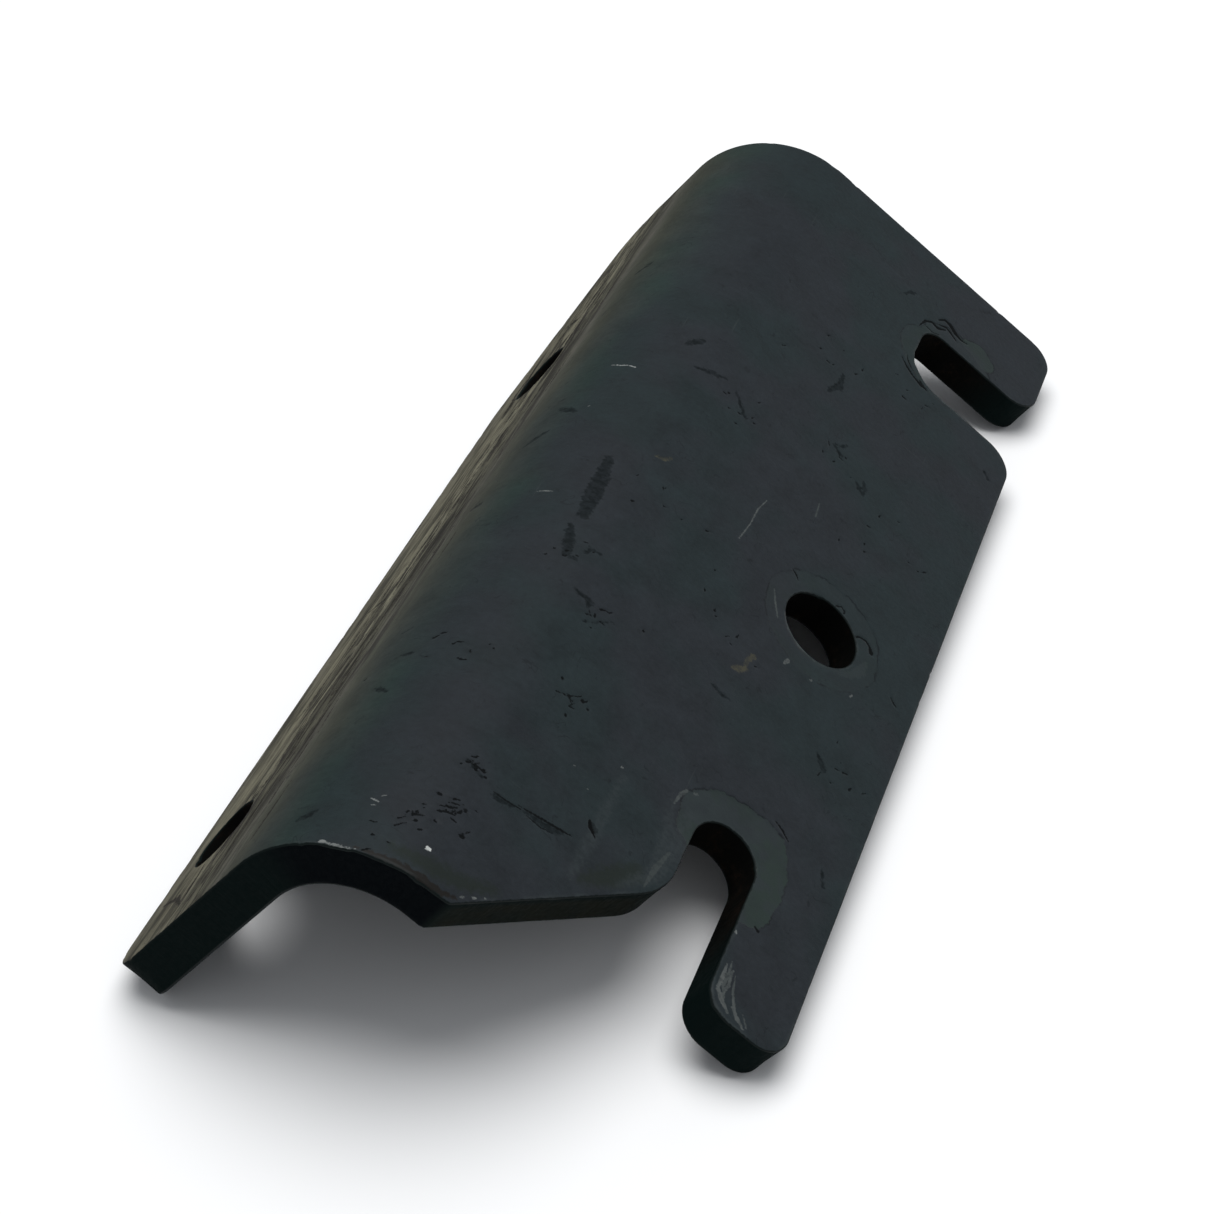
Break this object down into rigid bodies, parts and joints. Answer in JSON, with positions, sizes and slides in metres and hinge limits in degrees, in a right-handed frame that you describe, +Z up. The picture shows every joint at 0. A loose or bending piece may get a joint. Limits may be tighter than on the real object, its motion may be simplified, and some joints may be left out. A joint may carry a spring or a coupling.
{
  "type": "bent plate mounting bracket",
  "caption": "Thick steel plate folded once over a large radius, with round bolt holes and two open bolt slots in its flanges.",
  "frame": {"origin": "centre of the bounding box at the surface the bracket lies on", "axes": "+Y along the fold, from the end with the narrow open slot to the end with the wide one; +Z up, with the fold uppermost and both flanges' outer edges resting at z = 0; +X from the side flange to the main flange"},
  "size_m": [0.1324, 0.302, 0.057],
  "materials": {
    "dark_paint": "worn satin black-grey paint over hot-rolled steel, bare and rusty in the bolt holes"
  },
  "bodies": {
    "root": {"bent_plate": "dark_paint"}
  },
  "joints": []
}
